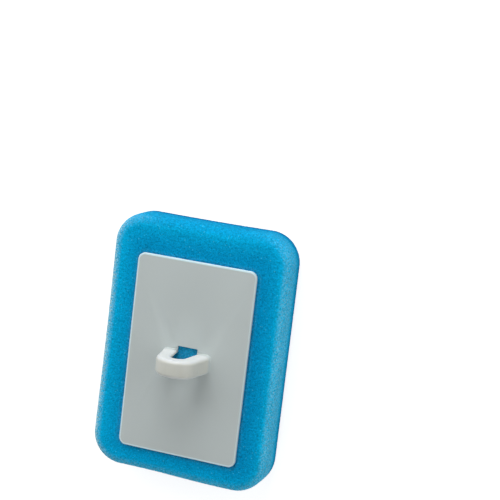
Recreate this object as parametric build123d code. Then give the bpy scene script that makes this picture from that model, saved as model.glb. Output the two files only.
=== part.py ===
from build123d import *
from math import asin, atan2, cos, hypot, radians, sin, tan
import os

# Sponge head for a clip-on toilet brush: a foam block with a moulded hook plate glued on top.
# Millimetres. The head lies on its foam underside, which is at Z = 0, and +Z points up.
# X and Y are centred on the foam block, and Y runs along its length.

# Foam block
sponge_length = 107.2
sponge_width = 76.0
sponge_thickness = 20.0
sponge_corner_radius = 13.0
sponge_edge_rounding = 4.0

# Glue between foam and plate, set back from the plate's outline and from its window
glue_thickness = 0.3
glue_setback = 0.6

# Backing plate, which sits a little off the middle of the foam
plate_length = 81.7
plate_width = 51.6
plate_thickness = 1.0
plate_corner_radius = 3.1
plate_edge_rounding = 0.4
plate_centre_y = -2.5

# Hook loop, an arch that stands across the plate and is moulded with it, thinner towards its crown
loop_foot_span = 20.9
loop_height = 18.7
loop_foot_depth = 7.7
loop_draft = 0.4  # degrees on each end face
loop_crown_radius = 8.7
loop_edge_rounding = 1.8
loop_foot_fillet = 0.5
loop_offset = -0.35  # from the middle of the plate and its window, along Y

# Eye of the loop, which the hook of the handle goes through
leg_width = 6.1
crown_thickness = 5.7
eye_crown_radius = 2.9
eye_edge_rounding = 1.2

# Window through the plate under the loop, where the core of the mould reached the eye
window_margin = 1.35
window_corner_radius = 0.5

# Heights and spans that follow from the sizes above
plate_bottom_z = sponge_thickness + glue_thickness
plate_top_z = plate_bottom_z + plate_thickness
eye_span = loop_foot_span - 2 * leg_width
eye_height = loop_height - crown_thickness
window_length = loop_foot_depth + 2 * window_margin
loop_centre_y = plate_centre_y + loop_offset


def slab(length, width, corner_radius, bottom_z, thickness):
    """Rounded rectangle centred on the backing plate, standing up from bottom_z."""
    outline = RectangleRounded(width, length, corner_radius)
    return Pos(0, plate_centre_y, bottom_z) * extrude(outline, amount=thickness)


def arch(span, height, crown_radius, depth):
    """Solid arch on the plate's top: two legs that lean in and run on into a round crown."""
    half_span = span / 2
    crown_z = height - crown_radius
    lean = atan2(half_span, crown_z) - asin(crown_radius / hypot(half_span, crown_z))
    shoulder_x = crown_radius * cos(lean)
    shoulder_z = crown_z + crown_radius * sin(lean)
    with BuildSketch(Plane.XZ) as profile:
        with BuildLine():
            Polyline((-shoulder_x, shoulder_z), (-half_span, 0), (half_span, 0), (shoulder_x, shoulder_z))
            ThreePointArc((shoulder_x, shoulder_z), (0, height), (-shoulder_x, shoulder_z))
        make_face()
    return Pos(0, loop_centre_y, plate_top_z) * extrude(profile.sketch, amount=depth / 2, both=True)


def make_sponge_block():
    outline = RectangleRounded(sponge_width, sponge_length, sponge_corner_radius)
    block = extrude(outline, amount=sponge_thickness)
    rims = block.faces().sort_by(Axis.Z)[0].edges() + block.faces().sort_by(Axis.Z)[-1].edges()
    return fillet(rims, sponge_edge_rounding)


def make_glue_layer():
    layer = slab(
        plate_length - 2 * glue_setback,
        plate_width - 2 * glue_setback,
        plate_corner_radius - glue_setback,
        sponge_thickness,
        glue_thickness,
    )
    opening = slab(
        window_length + 2 * glue_setback,
        eye_span + 2 * glue_setback,
        window_corner_radius + glue_setback,
        sponge_thickness,
        glue_thickness,
    )
    return layer - opening


def make_plate():
    plate = slab(plate_length, plate_width, plate_corner_radius, plate_bottom_z, plate_thickness)
    return fillet(plate.faces().sort_by(Axis.Z)[-1].edges(), plate_edge_rounding)


def draft_wedge():
    """What the loop keeps between its two end faces, which lean towards each other by the draft."""
    half_foot = loop_foot_depth / 2
    half_crown = half_foot - loop_height * tan(radians(loop_draft))
    with BuildSketch(Plane.YZ) as section:
        with BuildLine():
            Polyline((-half_foot, 0), (half_foot, 0), (half_crown, loop_height), (-half_crown, loop_height), close=True)
        make_face()
    return Pos(0, loop_centre_y, plate_top_z) * extrude(section.sketch, amount=loop_foot_span, both=True)


def make_loop():
    """The drafted arch with the edges of its two end faces rounded, and no eye yet."""
    loop = arch(loop_foot_span, loop_height, loop_crown_radius, loop_foot_depth) & draft_wedge()
    rims = loop.faces().sort_by(Axis.Y)[0].edges() + loop.faces().sort_by(Axis.Y)[-1].edges()
    return fillet(rims.filter_by(lambda edge: edge.center().Z > plate_top_z), loop_edge_rounding)


def make_eye_plug():
    """What the rounding of the eye's rims takes out of the loop, together with the eye between its end faces."""
    block = draft_wedge()
    bored = block - arch(eye_span, eye_height, eye_crown_radius, 2 * loop_foot_depth)
    end_faces = bored.faces().sort_by(Axis.Y)[0].edges() + bored.faces().sort_by(Axis.Y)[-1].edges()
    rims = end_faces.filter_by(lambda edge: edge.bounding_box().max.Z < plate_top_z + (eye_height + loop_height) / 2)
    rims = rims.filter_by(lambda edge: edge.bounding_box().max.Z > plate_top_z + eye_height / 2)
    rims = rims.filter_by(lambda edge: abs(edge.center().X) < eye_span)
    return block - fillet(rims, eye_edge_rounding)


def make_hook_plate():
    """Plate and loop as one moulding: fillet the foot, then cut the eye and the window."""
    moulding = make_plate() + make_loop()
    loop_centre = Vector(0, loop_centre_y, plate_top_z)
    foot_reach = hypot(loop_foot_span, loop_foot_depth) / 2
    level_edges = moulding.edges().filter_by_position(Axis.Z, plate_top_z, plate_top_z)
    foot_edges = level_edges.filter_by(lambda edge: (edge.center() - loop_centre).length < foot_reach)
    moulding = fillet(foot_edges, loop_foot_fillet)

    eye = arch(eye_span, eye_height, eye_crown_radius, 2 * loop_foot_depth)
    window = slab(window_length, eye_span, window_corner_radius, plate_bottom_z, plate_thickness)
    return moulding - make_eye_plug() - eye - window


parts = {
    "sponge_block": make_sponge_block(),
    "glue_layer": make_glue_layer(),
    "hook_plate": make_hook_plate(),
}

os.makedirs("parts", exist_ok=True)
for name, shape in parts.items():
    export_step(shape, "parts/" + name + ".step")
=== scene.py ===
"""Dresses the toilet brush sponge head: foam with real pores, a moulded hook plate and a plain studio."""

import bmesh
import bpy
import numpy as np
from bpy.props import FloatProperty, FloatVectorProperty, IntProperty, PointerProperty
from bpy.types import Operator, Panel, PropertyGroup
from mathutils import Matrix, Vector
from mathutils.kdtree import KDTree


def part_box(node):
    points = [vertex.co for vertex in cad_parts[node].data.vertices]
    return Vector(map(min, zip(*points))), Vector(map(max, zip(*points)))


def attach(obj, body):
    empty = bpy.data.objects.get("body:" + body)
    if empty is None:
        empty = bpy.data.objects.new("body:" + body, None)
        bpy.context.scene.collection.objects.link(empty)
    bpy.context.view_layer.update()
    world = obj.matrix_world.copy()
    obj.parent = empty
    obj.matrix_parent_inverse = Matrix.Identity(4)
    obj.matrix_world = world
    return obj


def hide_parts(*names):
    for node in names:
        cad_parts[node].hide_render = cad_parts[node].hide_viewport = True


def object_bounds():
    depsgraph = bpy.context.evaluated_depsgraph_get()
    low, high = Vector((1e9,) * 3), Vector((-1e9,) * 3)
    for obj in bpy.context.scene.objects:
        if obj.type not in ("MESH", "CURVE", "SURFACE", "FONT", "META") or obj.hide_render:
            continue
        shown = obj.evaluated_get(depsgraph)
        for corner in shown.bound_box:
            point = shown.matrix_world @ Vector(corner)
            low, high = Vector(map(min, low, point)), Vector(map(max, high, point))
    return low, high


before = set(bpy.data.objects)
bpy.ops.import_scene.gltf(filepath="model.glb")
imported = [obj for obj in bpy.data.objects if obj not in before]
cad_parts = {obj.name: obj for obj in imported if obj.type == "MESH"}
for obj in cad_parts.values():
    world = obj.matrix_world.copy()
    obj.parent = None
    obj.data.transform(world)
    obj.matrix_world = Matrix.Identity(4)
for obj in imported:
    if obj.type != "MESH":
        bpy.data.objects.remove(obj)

bl_info = {
    "name": "Sponge Head",
    "version": (1, 0, 0),
    "blender": (4, 5, 0),
    "location": "3D View > Sidebar > Sponge Head",
    "description": "Builds the foam, the hook plate's finish and the studio of a toilet brush sponge head",
    "category": "Object",
}

CAD_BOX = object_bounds()

FOAM_LOW, FOAM_HIGH = (np.array(corner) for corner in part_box("sponge_block"))
PLATE_LOW, PLATE_HIGH = (np.array(corner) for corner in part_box("hook_plate"))
GLUE_TOP = float(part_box("glue_layer")[1][2])

# Colour masks that the foam's mesh carries: the open cells, painted light, wear with painted sheen, and
# painted shade
FOAM_MASKS = ("pore", "glow", "wear_and_sheen", "shade")

# What is given for each side is in this order: the far end at +Y, the left at -X, the near end at -Y and the
# right at +X.

# Painted light on the foam: how light it is painted by the plate, where the edge starts, and on the wall, as
# the light falls on each side. It grows from the first to the second between these distances in from the
# block's outline.
FACE_PAINTED_LIGHT = (0.17, 0.24, 0.07, 0.00)
EDGE_PAINTED_LIGHT = (0.64, 0.72, 0.46, 0.41)
WALL_PAINTED_LIGHT = (0.32, 1.00, 1.00, 1.00)
PAINTED_LIGHT_STARTS = 0.0120
PAINTED_LIGHT_FULL = 0.0035

# Share of whitish foam on the edge of each side, and on the left wall: painted sheen on the left and near
# edges, and a dusty film on the right edge and the walls. It ends between these heights.
EDGE_WEAR_AND_SHEEN = (0.005, 0.68, 0.20, 0.115)
LEFT_WALL_WEAR = 0.11
WEAR_AND_SHEEN_ENDS = 0.0062
WEAR_AND_SHEEN_FULL = 0.0125

# Share of the light that the foot loses and that the far wall loses, and the heights between which each
# sets in
FOOT_SHADE = 0.56
FOOT_SHADE_HEIGHTS = (0.0105, 0.0045)
FAR_SHADE = 0.13
FAR_SHADE_HEIGHTS = (0.018, 0.009)

# Painted light and painted haze that the pale plate's light adds to the foam beside it, and how far it
# reaches
PLATE_PAINTED_LIGHT = 0.24
PLATE_PAINTED_HAZE = 0.028
PLATE_LIGHT_REACH = 0.0022

# Mean of the hollow mask over the foam, which keeps the foam's mean colour where the contrast changes
MEAN_HOLLOW = 0.39

# Strength of the painted highlight on the plate's edge on the right, and away from the far end, where it is
# full over a band this wide. It changes from one strength to the other over the fade's width.
HIGHLIGHT_AT_RIGHT = 0.35
HIGHLIGHT_ELSEWHERE = 0.85
HIGHLIGHT_FULL_BAND = 0.001
HIGHLIGHT_FADE = 0.003

# Steps round the crown of the loop's hollow, and how far the hollow is cut below the glue
CROWN_STEPS = 32
CUT_BELOW_GLUE = 0.0004

WHITE = (1.0, 1.0, 1.0, 1.0)
FLOOR_REACH = 3.0
LAMP_DISTANCE = 1.1
LAMP_SIZE = 0.55


# ---------------------------------------------------------------------------
# Settings
# ---------------------------------------------------------------------------


class FoamSettings(PropertyGroup):
    """Sizes and colours of the foam block."""

    skin_step: FloatProperty(
        name="Skin Step", description="Spacing of the mesh points on the foam's surface",
        default=0.0005, min=0.0003, unit="LENGTH",
    )
    corner_radius: FloatProperty(
        name="Corner Radius", description="Radius of the four upright corners",
        default=0.013, min=0.005, unit="LENGTH",
    )
    top_rounding: FloatProperty(
        name="Top Rounding", description="Radius of the edge round the top",
        default=0.0042, min=0.001, unit="LENGTH",
    )
    bottom_rounding: FloatProperty(
        name="Bottom Rounding", description="Radius of the edge round the underside",
        default=0.0055, min=0.001, unit="LENGTH",
    )
    wall_bulge: FloatProperty(
        name="Wall Bulge", description="How far the walls swell out at half height",
        default=0.0003, min=0.0, unit="LENGTH",
    )
    side_spread: FloatProperty(
        name="Side Spread", description="How far the side at -X spreads out towards -Y",
        default=0.0008, min=0.0, unit="LENGTH",
    )
    end_dip: FloatProperty(
        name="End Dip", description="How far the end at +Y dips in at its middle",
        default=0.0005, min=0.0, unit="LENGTH",
    )
    cell_size: FloatProperty(
        name="Cell Size", description="Mean width of the larger cells cut open at the surface",
        default=0.0010, min=0.0006, unit="LENGTH",
    )
    pore_depth: FloatProperty(
        name="Pore Depth", description="How deep an open cell is under its walls",
        default=0.00024, min=0.0, unit="LENGTH",
    )
    pinch_depth: FloatProperty(
        name="Pinch Depth", description="Depth of the crease that the plate presses into the foam",
        default=0.0006, min=0.0, unit="LENGTH",
    )
    pinch_width: FloatProperty(
        name="Pinch Width", description="Width of the crease round the plate",
        default=0.00055, min=0.0002, unit="LENGTH",
    )
    deep_colour: FloatVectorProperty(
        name="Deep Colour", description="Colour of the foam away from its edges",
        default=(0.001, 0.279, 0.595), subtype="COLOR", min=0.0, max=1.0,
    )
    # Painted light: the lighter colour that the foam is painted towards its edges
    painted_light_colour: FloatVectorProperty(
        name="Rim Colour", description="Lighter foam near the edges, which light shines into",
        default=(0.003, 0.55, 0.94), subtype="COLOR", min=0.0, max=1.0,
    )
    # Whitish colour of the wear and of the painted sheen on the left and near edges
    sheen_and_wear_colour: FloatVectorProperty(
        name="Sheen And Wear Colour", description="Whitish foam where the rounded edge is rubbed",
        default=(0.76, 0.87, 0.78), subtype="COLOR", min=0.0, max=1.0,
    )
    foot_colour: FloatVectorProperty(
        name="Foot Colour", description="What full shade would leave of the foam's colour at the foot",
        default=(0.0, 0.09, 0.29), subtype="COLOR", min=0.0, max=1.0,
    )
    # Painted shade: how much darker the hollows of the cells are painted
    pit_shade_contrast: FloatProperty(
        name="Cell Contrast", description="How much darker the hollows of the cells are than the struts",
        default=0.30, min=0.0, max=1.0,
    )
    mottle: FloatProperty(
        name="Mottle", description="Unevenness of the foam's colour from cell to cell",
        default=0.55, min=0.0, max=1.0,
    )
    # Painted highlight on the struts: its colour here and its strength below
    strut_highlight_colour: FloatVectorProperty(
        name="Strut Colour", description="Brighter blue of the struts between the cells",
        default=(0.02, 0.80, 1.0), subtype="COLOR", min=0.0, max=1.0,
    )
    strut_glint: FloatProperty(
        name="Strut Glint", description="How much of their own colour the struts show",
        default=0.10, min=0.0, max=1.0,
    )
    speck_colour: FloatVectorProperty(
        name="Speck Colour", description="Colour of the few cells that catch the light",
        default=(0.15, 0.85, 1.0), subtype="COLOR", min=0.0, max=1.0,
    )
    speck_glint: FloatProperty(
        name="Speck Glint", description="How strongly the few bright cells show",
        default=0.45, min=0.0, max=1.0,
    )
    seed: IntProperty(name="Seed", description="Chooses the pattern of cells", default=7)


class PlateSettings(PropertyGroup):
    """Colours and finish of the hook plate and of the glue under it."""

    corner_radius: FloatProperty(
        name="Corner Radius", description="Radius of the plate's four corners",
        default=0.0031, min=0.001, unit="LENGTH",
    )
    plate_thickness: FloatProperty(
        name="Plate Thickness", description="Thickness of the thin plate on the glue",
        default=0.001, min=0.0005, unit="LENGTH",
    )
    loop_span: FloatProperty(
        name="Loop Span", description="Width of the loop at its foot",
        default=0.0209, min=0.005, unit="LENGTH",
    )
    crown_radius: FloatProperty(
        name="Crown Radius", description="Radius of the loop's round crown",
        default=0.0087, min=0.002, unit="LENGTH",
    )
    loop_depth: FloatProperty(
        name="Loop Depth", description="How far the loop reaches along the plate",
        default=0.0077, min=0.002, unit="LENGTH",
    )
    loop_offset: FloatProperty(
        name="Loop Offset", description="How far along Y the loop is off the middle of the plate",
        default=-0.00035, unit="LENGTH",
    )
    loop_wall: FloatProperty(
        name="Loop Wall", description="Thickness of the walls round the loop's hollow",
        default=0.0012, min=0.0005, unit="LENGTH",
    )
    plate_colour: FloatVectorProperty(
        name="Plate Colour", description="Off-white of the thin plate",
        default=(0.555, 0.615, 0.61), subtype="COLOR", min=0.0, max=1.0,
    )
    loop_colour: FloatVectorProperty(
        name="Loop Colour", description="Creamier white of the thick loop",
        default=(0.66, 0.675, 0.615), subtype="COLOR", min=0.0, max=1.0,
    )
    # Painted light: the loop's end faces are painted lighter and cooler than its crown
    end_painted_light_colour: FloatVectorProperty(
        name="End Colour", description="Cooler white of the loop's two end faces",
        default=(0.78, 0.81, 0.815), subtype="COLOR", min=0.0, max=1.0,
    )
    # Painted highlight along the plate's rounded edge: its colour here and its width below
    edge_highlight_colour: FloatVectorProperty(
        name="Edge Colour", description="Paler plastic along the plate's rounded edge",
        default=(0.72, 0.94, 1.0), subtype="COLOR", min=0.0, max=1.0,
    )
    edge_highlight_width: FloatProperty(
        name="Rim Width", description="Width of the paler rim of the plate",
        default=0.0008, min=0.0001, unit="LENGTH",
    )
    glue_colour: FloatVectorProperty(
        name="Glue Colour", description="Cloudy hot-melt glue",
        default=(0.60, 0.58, 0.48), subtype="COLOR", min=0.0, max=1.0,
    )
    roughness: FloatProperty(
        name="Roughness", description="Roughness of the satin plastic",
        default=0.42, min=0.0, max=1.0, subtype="FACTOR",
    )


class StudioSettings(PropertyGroup):
    """Camera, lamps and floor."""

    camera_place: FloatVectorProperty(
        name="Camera Place", description="Where the camera stands",
        default=(0.2036, 0.1487, 0.5875), subtype="TRANSLATION", unit="LENGTH",
    )
    camera_turn: FloatVectorProperty(
        name="Camera Turn", description="How the camera is turned about X, Y and Z",
        default=(-0.13024, 0.32917, 0.12472), subtype="EULER", unit="ROTATION",
    )
    lens: FloatProperty(name="Lens", description="Focal length in millimetres", default=109.24, min=20.0)
    sky_level: FloatProperty(name="Sky Level", description="Light from all round", default=0.18, min=0.0)
    window_power: FloatProperty(
        name="Window Power", description="Power of the lamp at +Y", default=5.7, min=0.0, unit="POWER",
    )
    side_power: FloatProperty(
        name="Side Power", description="Power of the lamps at the sides",
        default=1.60, min=0.0, unit="POWER",
    )
    back_power: FloatProperty(
        name="Back Power", description="Power of the lamp at -Y, which lifts the shadows",
        default=2.1, min=0.0, unit="POWER",
    )
    floor_glow: FloatProperty(
        name="Floor Glow", description="White that the camera sees on the floor besides the light on it",
        default=0.78, min=0.0,
    )


# ---------------------------------------------------------------------------
# Node helpers
# ---------------------------------------------------------------------------


def add_node(tree, kind, inputs=None, **settings):
    """Adds a node. Each input is a plain value or an output socket to join to it."""
    node = tree.nodes.new(kind)
    for name, value in settings.items():
        setattr(node, name, value)
    for key, value in (inputs or {}).items():
        if isinstance(value, bpy.types.NodeSocket):
            tree.links.new(value, node.inputs[key])
        else:
            node.inputs[key].default_value = value
    return node


def colour(value):
    return (*value, 1.0)


def math_node(tree, operation, *values):
    return add_node(tree, "ShaderNodeMath", dict(enumerate(values)), operation=operation).outputs[0]


def vector_node(tree, operation, *values):
    node = add_node(tree, "ShaderNodeVectorMath", dict(enumerate(values)), operation=operation)
    return node.outputs["Value" if operation == "LENGTH" else "Vector"]


def remap(tree, value, low, high, to_low=0.0, to_high=1.0):
    """Maps low..high to to_low..to_high with soft ends."""
    node = add_node(
        tree, "ShaderNodeMapRange",
        {"Value": value, "From Min": low, "From Max": high, "To Min": to_low, "To Max": to_high},
        interpolation_type="SMOOTHSTEP",
    )
    return node.outputs["Result"]


def mix_colour(tree, factor, first, second, blend="MIX"):
    node = tree.nodes.new("ShaderNodeMix")
    node.data_type = "RGBA"
    node.blend_type = blend
    for socket, value in ((node.inputs[0], factor), (node.inputs[6], first), (node.inputs[7], second)):
        if isinstance(value, bpy.types.NodeSocket):
            tree.links.new(value, socket)
        else:
            socket.default_value = value
    return node.outputs[2]


def new_material(name):
    """An empty node material with its output and Principled shader."""
    material = bpy.data.materials.new(name)
    material.use_nodes = True
    tree = material.node_tree
    tree.nodes.clear()
    shader = tree.nodes.new("ShaderNodeBsdfPrincipled")
    output = tree.nodes.new("ShaderNodeOutputMaterial")
    tree.links.new(shader.outputs[0], output.inputs["Surface"])
    return material, tree, shader


def new_group(name, inputs, outputs):
    """A shader node group with the named float inputs and outputs."""
    group = bpy.data.node_groups.new(name, "ShaderNodeTree")
    for label, default in inputs.items():
        socket = group.interface.new_socket(name=label, in_out="INPUT", socket_type="NodeSocketFloat")
        socket.default_value = default
    for label in outputs:
        group.interface.new_socket(name=label, in_out="OUTPUT", socket_type="NodeSocketFloat")
    return group, group.nodes.new("NodeGroupInput"), group.nodes.new("NodeGroupOutput")


def uneven_group():
    """Unevenness over a surface: a value that wanders about 1, slowly or finely as the scale says."""
    group, given, out = new_group("uneven_tone", {"Scale": 60.0, "Amount": 0.05}, ["Value"])
    place = group.nodes.new("ShaderNodeTexCoord").outputs["Object"]
    noise = add_node(group, "ShaderNodeTexNoise", {"Vector": place, "Scale": given.outputs["Scale"]})
    centred = math_node(group, "SUBTRACT", noise.outputs["Fac"], 0.5)
    scaled = math_node(group, "MULTIPLY", centred, given.outputs["Amount"])
    group.links.new(math_node(group, "MULTIPLY_ADD", scaled, 2.0, 1.0), out.inputs["Value"])
    return group


def grain_group():
    """Fine grain of a moulded or set surface, as a height."""
    group, given, out = new_group("fine_grain", {"Scale": 2500.0, "Depth": 1.0}, ["Height"])
    place = group.nodes.new("ShaderNodeTexCoord").outputs["Object"]
    noise = add_node(
        group, "ShaderNodeTexNoise",
        {"Vector": place, "Scale": given.outputs["Scale"], "Detail": 3.0, "Roughness": 0.6},
    )
    height = math_node(group, "MULTIPLY", noise.outputs["Fac"], given.outputs["Depth"])
    group.links.new(height, out.inputs["Height"])
    return group


def place_group(tree, group, **values):
    """Puts a shared group in a material with the material's own values."""
    node = tree.nodes.new("ShaderNodeGroup")
    node.node_tree = group
    for name, value in values.items():
        node.inputs[name].default_value = value
    return node.outputs[0]


def shared_group(name, make):
    """The node group of that name, which is made the first time."""
    return bpy.data.node_groups.get(name) or make()


# ---------------------------------------------------------------------------
# Foam
# ---------------------------------------------------------------------------


def rounded_distance(points, half, radius):
    """Signed distance from a box, or a rectangle, with its corners rounded. Negative inside."""
    over = np.abs(points) - (half - radius)
    outside = np.linalg.norm(np.maximum(over, 0.0), axis=1)
    inside = np.minimum(over.max(axis=1), 0.0)
    return outside + inside - np.ravel(radius)


def from_outline(points, settings):
    """Signed distance from the block's outline, seen from above."""
    middle = (FOAM_LOW + FOAM_HIGH) / 2
    half = (FOAM_HIGH - FOAM_LOW) / 2
    return rounded_distance(points[:, :2] - middle[:2], half[:2], settings.corner_radius)


def from_plate(points, plate):
    """Signed distance from the plate's outline, seen from above."""
    middle = (PLATE_LOW + PLATE_HIGH) / 2
    half = (PLATE_HIGH - PLATE_LOW) / 2
    return rounded_distance(points[:, :2] - middle[:2], half[:2], plate.corner_radius)


def block_distance(points, settings):
    """Signed distance from the foam block, whose edges are rounded top and bottom."""
    middle = (FOAM_LOW + FOAM_HIGH) / 2
    half = (FOAM_HIGH - FOAM_LOW) / 2
    height = points[:, 2] - middle[2]
    section = np.stack([np.maximum(from_outline(points, settings) + half[0], 0.0), height], axis=1)
    rounding = np.where(height > 0.0, settings.top_rounding, settings.bottom_rounding)
    return rounded_distance(section, np.array([half[0], half[2]]), rounding[:, None])


def block_normal(points, settings):
    """Which way the block's surface faces at each point, as the slope of the distance from it."""
    step = 1e-5
    slopes = []
    for axis in range(3):
        nudge = np.zeros(3)
        nudge[axis] = step
        slopes.append(block_distance(points + nudge, settings) - block_distance(points - nudge, settings))
    normal = np.stack(slopes, axis=1)
    return normal / np.linalg.norm(normal, axis=1, keepdims=True)


def smoothstep(low, high, value):
    """0 at low, 1 at high and a soft slope between them. Low may be the larger one."""
    t = np.clip((value - low) / (high - low), 0.0, 1.0)
    return t * t * (3.0 - 2.0 * t)


def cell_centres(settings):
    """Middles of the cells near the block's surface: a lattice with every point knocked out of place."""
    size = settings.cell_size
    knock = 0.48
    reach = 1.3 * size
    random = np.random.default_rng(settings.seed)
    axes = [np.arange(low - size, high + size, size) for low, high in zip(FOAM_LOW, FOAM_HIGH)]
    lattice = np.stack(np.meshgrid(*axes, indexing="ij"), axis=-1).reshape(-1, 3)
    lattice += random.uniform(-knock, knock, lattice.shape) * size
    return lattice[np.abs(block_distance(lattice, settings)) < reach]


def open_cells(points, settings):
    """How far each point lies inside a cell: 0 on a wall, 1 in the middle of a large cell."""
    centres = cell_centres(settings)
    tree = KDTree(len(centres))
    for index, centre in enumerate(centres):
        tree.insert(centre, index)
    tree.balance()
    gap = np.empty(len(points))
    owner = np.empty(len(points), dtype=int)
    for index, point in enumerate(points):
        (_, nearest, near), (_, _, next_near) = tree.find_n(point, 2)
        gap[index] = next_near - near
        owner[index] = nearest
    random = np.random.default_rng(settings.seed + 1)
    shallowest = 0.35
    wall_slope = 0.55 * settings.cell_size
    depth_of_cell = random.uniform(shallowest, 1.0, len(centres))
    return smoothstep(0.0, wall_slope, gap) * depth_of_cell[owner]


def soft_shape(points, normal, settings):
    """How far the soft block moves from its cut shape.

    The walls swell out. The side at -X spreads towards -Y, while the one at +X gives in a little. The end
    at +Y dips in at its middle, and the end at -Y dips in on one side and swells out on the other.
    """
    across = points[:, 0] / FOAM_HIGH[0]
    along = points[:, 1] / FOAM_HIGH[1]
    height = (points[:, 2] - FOAM_LOW[2]) / (FOAM_HIGH[2] - FOAM_LOW[2])
    upright = 1.0 - np.abs(normal[:, 2])
    moved = normal * (settings.wall_bulge * 4.0 * height * (1.0 - height) * upright)[:, None]
    spread = smoothstep(0.3, -1.0, along)
    moved[:, 0] -= settings.side_spread * smoothstep(0.2, -1.0, across) * spread
    moved[:, 0] -= settings.side_spread * 0.35 * smoothstep(0.3, 1.0, across)
    moved[:, 1] -= settings.end_dip * smoothstep(0.3, 1.0, along) * (1.0 - across**2)
    moved[:, 1] -= settings.end_dip * 0.8 * smoothstep(-0.4, -1.0, along) * np.sin(np.pi * across)
    return moved


def plate_crease(points, settings, plate):
    """Depth of the crease that runs in the foam's top just outside the plate."""
    top_band = 0.001
    bottom_of_crease = 0.35 * settings.pinch_width
    spread = 0.6 * settings.pinch_width
    on_top = smoothstep(FOAM_HIGH[2] - top_band, FOAM_HIGH[2], points[:, 2])
    shape = np.exp(-((from_plate(points, plate) - bottom_of_crease) / spread) ** 2)
    return settings.pinch_depth * shape * on_top


def even_skin(node, name, step):
    """A copy of a CAD node with evenly spaced mesh points."""
    draft = bpy.data.objects.new(name + "_draft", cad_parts[node].data.copy())
    bpy.context.collection.objects.link(draft)
    remesh = draft.modifiers.new("skin", "REMESH")
    remesh.mode = "VOXEL"
    remesh.voxel_size = step
    remesh.use_smooth_shade = True
    graph = bpy.context.evaluated_depsgraph_get()
    mesh = bpy.data.meshes.new_from_object(draft.evaluated_get(graph))
    bpy.data.objects.remove(draft)
    mesh.name = name
    mesh.materials.clear()
    return mesh


def side_weights(points):
    """Shares of the far, left, near and right sides in the look of each point. They blend at the corners.

    The higher a side's power is, the sooner it gives way to its neighbours.
    """
    middle = (FOAM_LOW + FOAM_HIGH) / 2
    half = (FOAM_HIGH - FOAM_LOW) / 2
    across, along = ((points - middle) / half)[:, :2].T
    lengthways = np.where(along > 0.0, np.abs(along) ** 4, np.abs(0.97 * along) ** 14)
    ends = lengthways / (lengthways + across**6 + 1e-9)
    sides = 1.0 - ends
    return np.stack([
        ends * (along > 0.0), sides * (across < 0.0), ends * (along < 0.0), sides * (across > 0.0),
    ])


def foam_painted_light(points, normal, weights, settings):
    """Painted light on the foam: it deepens away from the edges, and each side is painted as lit as the
    light that falls on it.
    """
    near_plate = np.array(FACE_PAINTED_LIGHT) @ weights
    near_edge = np.array(EDGE_PAINTED_LIGHT) @ weights
    on_wall = np.array(WALL_PAINTED_LIGHT) @ weights
    outward = (PAINTED_LIGHT_STARTS + from_outline(points, settings)) / (PAINTED_LIGHT_STARTS - PAINTED_LIGHT_FULL)
    glow = near_plate + (near_edge - near_plate) * np.clip(outward, 0.0, 1.0) ** 1.5
    tilt = np.linalg.norm(normal[:, :2], axis=1)
    return glow + (on_wall - glow) * smoothstep(0.0, 0.75, tilt)


def foam_wear_and_sheen(normal, weights, height):
    """Share of whitish foam: painted sheen, strong on the left edge; a dusty film on the right wall; little
    elsewhere.
    """
    tilt = np.linalg.norm(normal[:, :2], axis=1)
    upright = smoothstep(0.65, 0.10, normal[:, 2])
    far, left, near, right = EDGE_WEAR_AND_SHEEN
    # The left edge's whitish band is painted sheen; on the upright wall it gives way to the dusty film
    left_wear_and_sheen = left * tilt**1.45
    left_wear_and_sheen += (LEFT_WALL_WEAR - left_wear_and_sheen) * upright
    by_side = np.stack([far * tilt, left_wear_and_sheen, near * tilt**1.5, right * smoothstep(0.35, 0.80, tilt)])
    return (by_side * weights).sum(axis=0) * smoothstep(WEAR_AND_SHEEN_ENDS, WEAR_AND_SHEEN_FULL, height)


def foam_shade(weights, height):
    """Share of the light that is left on the walls, which get darker towards the foot."""
    foot = FOOT_SHADE * smoothstep(*FOOT_SHADE_HEIGHTS, height)
    far_wall = FAR_SHADE * smoothstep(*FAR_SHADE_HEIGHTS, height) * weights[0]
    return 1.0 - foot - far_wall


def store_mask(mesh, name, values):
    """Keeps a value for each mesh point, for the material to read."""
    attribute = mesh.attributes.new(name, "FLOAT", "POINT")
    attribute.data.foreach_set("value", values.astype(np.float32))


def foam_cells_group():
    """Cells of a foam cut open: 0 on the struts between them, towards 1 in the hollow of each cell."""
    group, given, out = new_group("foam_cells", {"Scale": 1500.0}, ["Hollow"])
    place = group.nodes.new("ShaderNodeTexCoord").outputs["Object"]
    same = {"Vector": place, "Scale": given.outputs["Scale"]}
    wall = add_node(group, "ShaderNodeTexVoronoi", same, feature="DISTANCE_TO_EDGE").outputs["Distance"]
    cell = add_node(group, "ShaderNodeTexVoronoi", same, feature="F1").outputs["Color"]
    tone = add_node(group, "ShaderNodeSeparateColor", {"Color": cell}).outputs["Red"]
    depth = remap(group, tone, 0.0, 1.0, 0.25, 1.0)
    hollow = math_node(group, "MULTIPLY", remap(group, wall, 0.03, 0.30), depth)
    group.links.new(hollow, out.inputs["Hollow"])
    return group


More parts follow.
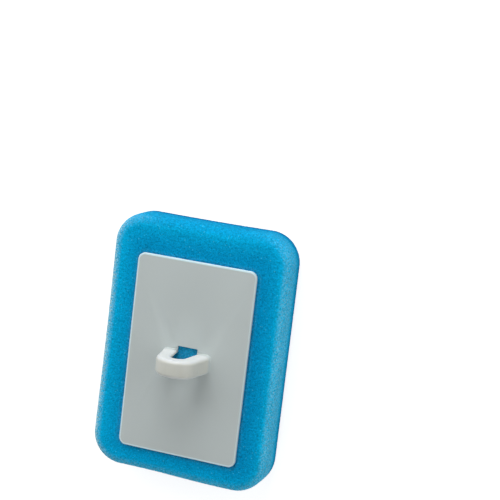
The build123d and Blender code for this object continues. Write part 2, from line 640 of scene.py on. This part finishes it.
def foam_material(settings):
    """Open-cell foam with painted light at its edges, wear and painted sheen in places, painted highlights
    on the struts and painted shade in the hollows.
    """
    material, tree, shader = new_material("blue_foam")
    place = tree.nodes.new("ShaderNodeTexCoord").outputs["Object"]
    pore, glow, wear_and_sheen, shade = (
        add_node(tree, "ShaderNodeAttribute", attribute_name=mask).outputs["Fac"] for mask in FOAM_MASKS
    )

    cells = shared_group("foam_cells", foam_cells_group)
    coarse = place_group(tree, cells, Scale=1250.0)
    fine = place_group(tree, cells, Scale=2400.0)
    hollow = math_node(tree, "MAXIMUM", coarse, math_node(tree, "MULTIPLY", fine, 0.6))
    deep = math_node(tree, "MAXIMUM", hollow, math_node(tree, "MULTIPLY", pore, 0.7))

    specks = add_node(tree, "ShaderNodeTexVoronoi", {"Vector": place, "Scale": 1300.0}, feature="F1")
    chosen = add_node(tree, "ShaderNodeSeparateColor", {"Color": specks.outputs["Color"]}).outputs["Red"]
    strength = remap(tree, chosen, 0.92, 0.97, 0.0, settings.speck_glint)
    glint = math_node(tree, "MULTIPLY", strength, remap(tree, specks.outputs["Distance"], 0.45, 0.10))

    uneven = shared_group("uneven_tone", uneven_group)
    drift = place_group(tree, uneven, Scale=90.0, Amount=0.10)
    mottle = place_group(tree, uneven, Scale=1300.0, Amount=settings.mottle)
    patchy = place_group(tree, uneven, Scale=1500.0, Amount=3.0)
    # Painted shade: the hollows of the cells are darker than the struts
    pit_shade = math_node(
        tree, "MULTIPLY_ADD", deep, -settings.pit_shade_contrast, 1.0 + MEAN_HOLLOW * settings.pit_shade_contrast,
    )
    shadow = mix_colour(tree, shade, colour(settings.foot_colour), WHITE)
    # Painted highlight on the struts
    struts = remap(tree, hollow, 0.16, 0.0, 0.0, settings.strut_glint)

    # Painted light towards the edges, then wear with painted sheen, painted shade at the foot and hollows,
    # and painted glints
    body = mix_colour(tree, glow, colour(settings.deep_colour), colour(settings.painted_light_colour))
    body = mix_colour(tree, math_node(tree, "MULTIPLY", wear_and_sheen, patchy), body, colour(settings.sheen_and_wear_colour))
    for tone in (shadow, drift, mottle, pit_shade):
        body = mix_colour(tree, 1.0, body, tone, "MULTIPLY")
    body = mix_colour(tree, glint, body, colour(settings.speck_colour))
    body = mix_colour(tree, struts, body, colour(settings.strut_highlight_colour))
    tree.links.new(body, shader.inputs["Base Color"])

    pits = add_node(tree, "ShaderNodeBump", {"Height": deep, "Strength": 0.4, "Distance": 0.00025})
    pits.invert = True
    tree.links.new(pits.outputs["Normal"], shader.inputs["Normal"])
    shader.inputs["Roughness"].default_value = 0.85
    shader.inputs["Specular IOR Level"].default_value = 0.0
    shader.inputs["Sheen Weight"].default_value = 0.04
    shader.inputs["Sheen Roughness"].default_value = 0.30
    shader.inputs["Sheen Tint"].default_value = (0.80, 0.95, 1.0, 1.0)
    return material


class SPONGEHEAD_OT_make_foam(Operator):
    """Make the foam block, with its cells cut open all over the surface"""

    bl_idname = "spongehead.make_foam"
    bl_label = "Make Foam Block"

    def execute(self, context):
        settings = context.scene.sponge_foam
        plate = context.scene.sponge_plate
        mesh = even_skin("sponge_block", "foam_block", settings.skin_step)
        points = np.empty(len(mesh.vertices) * 3)
        mesh.vertices.foreach_get("co", points)
        points = points.reshape(-1, 3)

        normal = block_normal(points, settings)
        points -= normal * block_distance(points, settings)[:, None]
        height = points[:, 2] - FOAM_LOW[2]
        weights = side_weights(points)
        # Painted light, wear with painted sheen, and painted shade for the foam's colour
        glow = foam_painted_light(points, normal, weights, settings)
        wear_and_sheen = foam_wear_and_sheen(normal, weights, height)
        shade = foam_shade(weights, height)
        # Painted light and painted haze from the pale plate on the foam beside it
        beside_plate = smoothstep(PLATE_LIGHT_REACH, 0.0, from_plate(points, plate))
        glow += PLATE_PAINTED_LIGHT * beside_plate * (1.0 - weights[1])
        wear_and_sheen += PLATE_PAINTED_HAZE * beside_plate
        pore = open_cells(points, settings)
        sunk = settings.pore_depth * (pore - pore.mean()) + plate_crease(points, settings, plate)
        # The cells get shallow towards the underside, which lies on the floor
        sunk *= smoothstep(-0.001, 0.003, height)
        points += soft_shape(points, normal, settings) - normal * sunk[:, None]

        mesh.vertices.foreach_set("co", points.ravel())
        for mask, values in zip(FOAM_MASKS, (pore, glow, wear_and_sheen, shade)):
            store_mask(mesh, mask, values)
        mesh.update()
        foam = bpy.data.objects.new("foam_block", mesh)
        context.collection.objects.link(foam)
        mesh.materials.append(foam_material(settings))
        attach(foam, "root")
        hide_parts("sponge_block")
        return {"FINISHED"}


# ---------------------------------------------------------------------------
# Hook plate and glue
# ---------------------------------------------------------------------------


def plate_top(settings):
    """Height of the thin plate's upper face."""
    return GLUE_TOP + settings.plate_thickness


def plate_edge_highlight(tree, place, height, settings):
    """Mask of the painted highlight on the thin plate's rounded edge, strongest at the far end and weakest
    on the right.
    """
    middle = Vector(((PLATE_LOW + PLATE_HIGH) / 2).tolist())
    half = Vector(((PLATE_HIGH - PLATE_LOW) / 2).tolist())
    radius = settings.corner_radius
    flat = vector_node(tree, "SUBTRACT", place, middle)
    flat = vector_node(tree, "MULTIPLY", flat, (1.0, 1.0, 0.0))
    over = vector_node(tree, "ABSOLUTE", flat)
    over = vector_node(tree, "SUBTRACT", over, half - Vector((radius, radius, 0.0)))
    over = vector_node(tree, "MAXIMUM", over, (0.0, 0.0, 0.0))
    reach = vector_node(tree, "LENGTH", over)
    across, along, _ = add_node(tree, "ShaderNodeSeparateXYZ", {0: flat}).outputs
    rim = remap(tree, reach, radius - 1.1 * settings.edge_highlight_width, radius - 0.7 * settings.edge_highlight_width)
    for part in (
        remap(tree, across, half.x, half.x - HIGHLIGHT_FADE, HIGHLIGHT_AT_RIGHT, 1.0),
        remap(tree, along, half.y - HIGHLIGHT_FULL_BAND - HIGHLIGHT_FADE, half.y - HIGHLIGHT_FULL_BAND, HIGHLIGHT_ELSEWHERE, 1.0),
        remap(tree, height, plate_top(settings) + 0.0004, plate_top(settings) + 0.0001),
    ):
        rim = math_node(tree, "MULTIPLY", rim, part)
    return rim


def plate_material(settings):
    """Satin moulded plastic, a little creamier where it is thick, with a painted highlight on the plate's
    edge and painted light on the loop's end faces.
    """
    material, tree, shader = new_material("off_white_plastic")
    surface = tree.nodes.new("ShaderNodeTexCoord")
    place = surface.outputs["Object"]
    height = add_node(tree, "ShaderNodeSeparateXYZ", {0: place}).outputs["Z"]
    facing = add_node(tree, "ShaderNodeSeparateXYZ", {0: surface.outputs["Normal"]}).outputs["Y"]
    thick = remap(tree, height, plate_top(settings) + 0.0003, plate_top(settings) + 0.003)
    # Painted light: faces that look along Y take the lighter end colour
    endways = remap(tree, math_node(tree, "ABSOLUTE", facing), 0.2, 0.9)
    # Painted highlight along the plate's edge
    rim = plate_edge_highlight(tree, place, height, settings)

    loop = mix_colour(tree, endways, colour(settings.loop_colour), colour(settings.end_painted_light_colour))
    body = mix_colour(tree, thick, colour(settings.plate_colour), loop)
    body = mix_colour(tree, rim, body, colour(settings.edge_highlight_colour))
    uneven = shared_group("uneven_tone", uneven_group)
    drift = place_group(tree, uneven, Scale=45.0, Amount=0.025)
    body = mix_colour(tree, 1.0, body, drift, "MULTIPLY")
    tree.links.new(body, shader.inputs["Base Color"])

    gloss = place_group(tree, uneven, Scale=220.0, Amount=0.10)
    tree.links.new(math_node(tree, "MULTIPLY", gloss, settings.roughness), shader.inputs["Roughness"])
    grain = place_group(tree, shared_group("fine_grain", grain_group), Scale=2600.0, Depth=1.0)
    bump = add_node(tree, "ShaderNodeBump", {"Height": grain, "Strength": 0.12, "Distance": 0.00004})
    tree.links.new(bump.outputs["Normal"], shader.inputs["Normal"])
    shader.inputs["Specular IOR Level"].default_value = 0.5
    shader.inputs["Subsurface Weight"].default_value = 0.12
    shader.inputs["Subsurface Radius"].default_value = (1.0, 0.9, 0.7)
    shader.inputs["Subsurface Scale"].default_value = 0.0012
    return material


def glue_material(settings):
    """Cloudy, slightly uneven hot-melt glue."""
    material, tree, shader = new_material("cloudy_glue")
    drift = place_group(tree, shared_group("uneven_tone", uneven_group), Scale=160.0, Amount=0.15)
    body = mix_colour(tree, 1.0, colour(settings.glue_colour), drift, "MULTIPLY")
    tree.links.new(body, shader.inputs["Base Color"])
    grain = place_group(tree, shared_group("fine_grain", grain_group), Scale=900.0, Depth=1.0)
    bump = add_node(tree, "ShaderNodeBump", {"Height": grain, "Strength": 0.4, "Distance": 0.0001})
    tree.links.new(bump.outputs["Normal"], shader.inputs["Normal"])
    shader.inputs["Roughness"].default_value = 0.35
    return material


def hollow_outline(settings):
    """Corners (x, z) of the loop's hollow, one wall inside the loop's outline and down past the glue."""
    half_span = settings.loop_span / 2
    crown_z = PLATE_HIGH[2] - settings.crown_radius
    crown_rise = crown_z - plate_top(settings)
    foot = FOAM_HIGH[2] - CUT_BELOW_GLUE
    lean = np.arctan2(half_span, crown_rise)
    lean -= np.arcsin(settings.crown_radius / np.hypot(half_span, crown_rise))
    turn = np.linspace(lean, np.pi - lean, CROWN_STEPS + 1)
    radius = settings.crown_radius - settings.loop_wall
    crown = zip(radius * np.cos(turn), crown_z + radius * np.sin(turn))
    foot_x = half_span - settings.loop_wall / np.cos(lean) + (plate_top(settings) - foot) * np.tan(lean)
    return [(foot_x, foot), *crown, (-foot_x, foot)]


def hollow_core(context, settings):
    """The hollow under the loop as a closed mesh, to cut with."""
    outline = hollow_outline(settings)
    count = len(outline)
    middle = (PLATE_LOW[1] + PLATE_HIGH[1]) / 2 + settings.loop_offset
    reach = settings.loop_depth / 2 - settings.loop_wall
    points = [(x, middle + side * reach, z) for side in (-1.0, 1.0) for x, z in outline]
    sides = [(i, (i + 1) % count, (i + 1) % count + count, i + count) for i in range(count)]
    ends = [tuple(range(count))[::-1], tuple(range(count, 2 * count))]
    mesh = bpy.data.meshes.new("hollow_core")
    mesh.from_pydata(points, [], sides + ends)
    shape = bmesh.new()
    shape.from_mesh(mesh)
    bmesh.ops.recalc_face_normals(shape, faces=shape.faces)
    shape.to_mesh(mesh)
    shape.free()
    core = bpy.data.objects.new("hollow_core", mesh)
    context.collection.objects.link(core)
    return core


def cut_node(context, node, core):
    """A copy of a CAD node's mesh with the core cut out of it."""
    same_point = 1e-6
    sharp_angle = np.radians(30.0)
    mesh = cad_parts[node].data.copy()
    shape = bmesh.new()
    shape.from_mesh(mesh)
    bmesh.ops.remove_doubles(shape, verts=shape.verts, dist=same_point)
    shape.to_mesh(mesh)
    shape.free()
    draft = bpy.data.objects.new(node + "_draft", mesh)
    context.collection.objects.link(draft)
    cut = draft.modifiers.new("hollow", "BOOLEAN")
    cut.operation = "DIFFERENCE"
    cut.solver = "EXACT"
    cut.object = core
    graph = context.evaluated_depsgraph_get()
    result = bpy.data.meshes.new_from_object(draft.evaluated_get(graph))
    bpy.data.objects.remove(draft)
    result.materials.clear()
    result.shade_smooth()
    result.set_sharp_from_angle(angle=sharp_angle)
    return result


class SPONGEHEAD_OT_make_plate(Operator):
    """Hollow out the loop of the hook plate, and finish the plate and the glue under it"""

    bl_idname = "spongehead.make_plate"
    bl_label = "Make Hook Plate"

    def execute(self, context):
        settings = context.scene.sponge_plate
        core = hollow_core(context, settings)
        for node, name, slot, material in (
            ("hook_plate", "hook_moulding", "plate", plate_material(settings)),
            ("glue_layer", "glue_film", "glue", glue_material(settings)),
        ):
            piece = bpy.data.objects.new(name, cut_node(context, node, core))
            piece.data.materials.append(material)
            context.collection.objects.link(piece)
            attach(piece, "root")
            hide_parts(node)
        bpy.data.objects.remove(core)
        return {"FINISHED"}


# ---------------------------------------------------------------------------
# Studio
# ---------------------------------------------------------------------------


def seen_directly(tree):
    """1 for what the camera, a reflection or a glass sees, 0 for what only lights the object."""
    path = tree.nodes.new("ShaderNodeLightPath")
    shiny = math_node(tree, "MAXIMUM", path.outputs["Is Glossy Ray"], path.outputs["Is Transmission Ray"])
    return math_node(tree, "MAXIMUM", path.outputs["Is Camera Ray"], shiny)


def add_floor(context, settings):
    """A pale floor under the foam, which takes the object's shadow and looks white elsewhere."""
    mesh = bpy.data.meshes.new("floor")
    corners = [(x * FLOOR_REACH, y * FLOOR_REACH, 0.0) for x, y in ((-1, -1), (1, -1), (1, 1), (-1, 1))]
    mesh.from_pydata(corners, [], [(0, 1, 2, 3)])
    floor = bpy.data.objects.new("floor", mesh)
    floor.location.z = float(FOAM_LOW[2])
    context.collection.objects.link(floor)
    material, tree, shader = new_material("white_floor")
    shader.inputs["Base Color"].default_value = (0.55, 0.55, 0.55, 1.0)
    shader.inputs["Roughness"].default_value = 0.9
    shader.inputs["Emission Color"].default_value = WHITE
    glow = math_node(tree, "MULTIPLY", seen_directly(tree), settings.floor_glow)
    tree.links.new(glow, shader.inputs["Emission Strength"])
    mesh.materials.append(material)


def add_world(context, settings):
    """A room that looks white and lights the object only softly."""
    world = bpy.data.worlds.new("white_room")
    world.use_nodes = True
    tree = world.node_tree
    background = tree.nodes["Background"]
    background.inputs["Color"].default_value = WHITE
    strength = add_node(
        tree, "ShaderNodeMapRange",
        {"Value": seen_directly(tree), "To Min": settings.sky_level, "To Max": 1.0},
    )
    tree.links.new(strength.outputs["Result"], background.inputs["Strength"])
    context.scene.world = world


def add_lamp(context, name, turn, rise, power):
    """A square lamp that faces the object, turned from +Y towards +X and raised above the floor."""
    light = bpy.data.lights.new(name, "AREA")
    light.size = LAMP_SIZE
    light.energy = power
    lamp = bpy.data.objects.new(name, light)
    aim = Vector((np.cos(rise) * np.sin(turn), np.cos(rise) * np.cos(turn), np.sin(rise)))
    lamp.location = (CAD_BOX[0] + CAD_BOX[1]) / 2 + LAMP_DISTANCE * aim
    lamp.rotation_euler = aim.to_track_quat("Z", "Y").to_euler()
    context.collection.objects.link(lamp)


def add_camera(context, settings):
    data = bpy.data.cameras.new("camera")
    data.lens = settings.lens
    data.sensor_width = 36.0
    data.clip_start = 0.01
    data.clip_end = 20.0
    camera = bpy.data.objects.new("camera", data)
    camera.location = settings.camera_place
    camera.rotation_euler = settings.camera_turn
    context.collection.objects.link(camera)
    context.scene.camera = camera


class SPONGEHEAD_OT_set_studio(Operator):
    """Set up the camera, the floor, the lamps and the pale room"""

    bl_idname = "spongehead.set_studio"
    bl_label = "Set Up Studio"

    def execute(self, context):
        settings = context.scene.sponge_studio
        add_camera(context, settings)
        add_floor(context, settings)
        add_world(context, settings)
        # Each lamp's name, its turn and its rise in degrees, and its power
        for name, turn, rise, power in (
            ("window", 0.0, 23.0, settings.window_power),
            ("window_left", -30.0, 38.0, 0.40 * settings.window_power),
            ("left", -60.0, 25.0, settings.side_power),
            ("right", 60.0, 25.0, settings.side_power),
            ("far_left", -90.0, 20.0, 0.65 * settings.side_power),
            ("far_right", 90.0, 20.0, 1.20 * settings.side_power),
            ("behind", 180.0, 20.0, settings.back_power),
        ):
            add_lamp(context, name, np.radians(turn), np.radians(rise), power)
        context.scene.view_settings.view_transform = "Standard"
        return {"FINISHED"}


# ---------------------------------------------------------------------------
# Panel and registration
# ---------------------------------------------------------------------------


class SPONGEHEAD_PT_panel(Panel):
    """Sidebar panel with the sizes and colours of each step and the button that runs it"""

    bl_idname = "SPONGEHEAD_PT_panel"
    bl_label = "Sponge Head"
    bl_space_type = "VIEW_3D"
    bl_region_type = "UI"
    bl_category = "Sponge Head"

    def draw(self, context):
        scene = context.scene
        for settings, operator in (
            (scene.sponge_studio, SPONGEHEAD_OT_set_studio),
            (scene.sponge_foam, SPONGEHEAD_OT_make_foam),
            (scene.sponge_plate, SPONGEHEAD_OT_make_plate),
        ):
            box = self.layout.box()
            for name in settings.__annotations__:
                box.prop(settings, name)
            box.operator(operator.bl_idname)


CLASSES = (
    FoamSettings,
    PlateSettings,
    StudioSettings,
    SPONGEHEAD_OT_make_foam,
    SPONGEHEAD_OT_make_plate,
    SPONGEHEAD_OT_set_studio,
    SPONGEHEAD_PT_panel,
)


def register():
    for cls in CLASSES:
        bpy.utils.register_class(cls)
    bpy.types.Scene.sponge_foam = PointerProperty(type=FoamSettings)
    bpy.types.Scene.sponge_plate = PointerProperty(type=PlateSettings)
    bpy.types.Scene.sponge_studio = PointerProperty(type=StudioSettings)


def unregister():
    del bpy.types.Scene.sponge_studio
    del bpy.types.Scene.sponge_plate
    del bpy.types.Scene.sponge_foam
    for cls in reversed(CLASSES):
        bpy.utils.unregister_class(cls)


def main():
    register()
    bpy.ops.spongehead.set_studio()
    bpy.ops.spongehead.make_foam()
    bpy.ops.spongehead.make_plate()


if __name__ == "__main__":
    main()
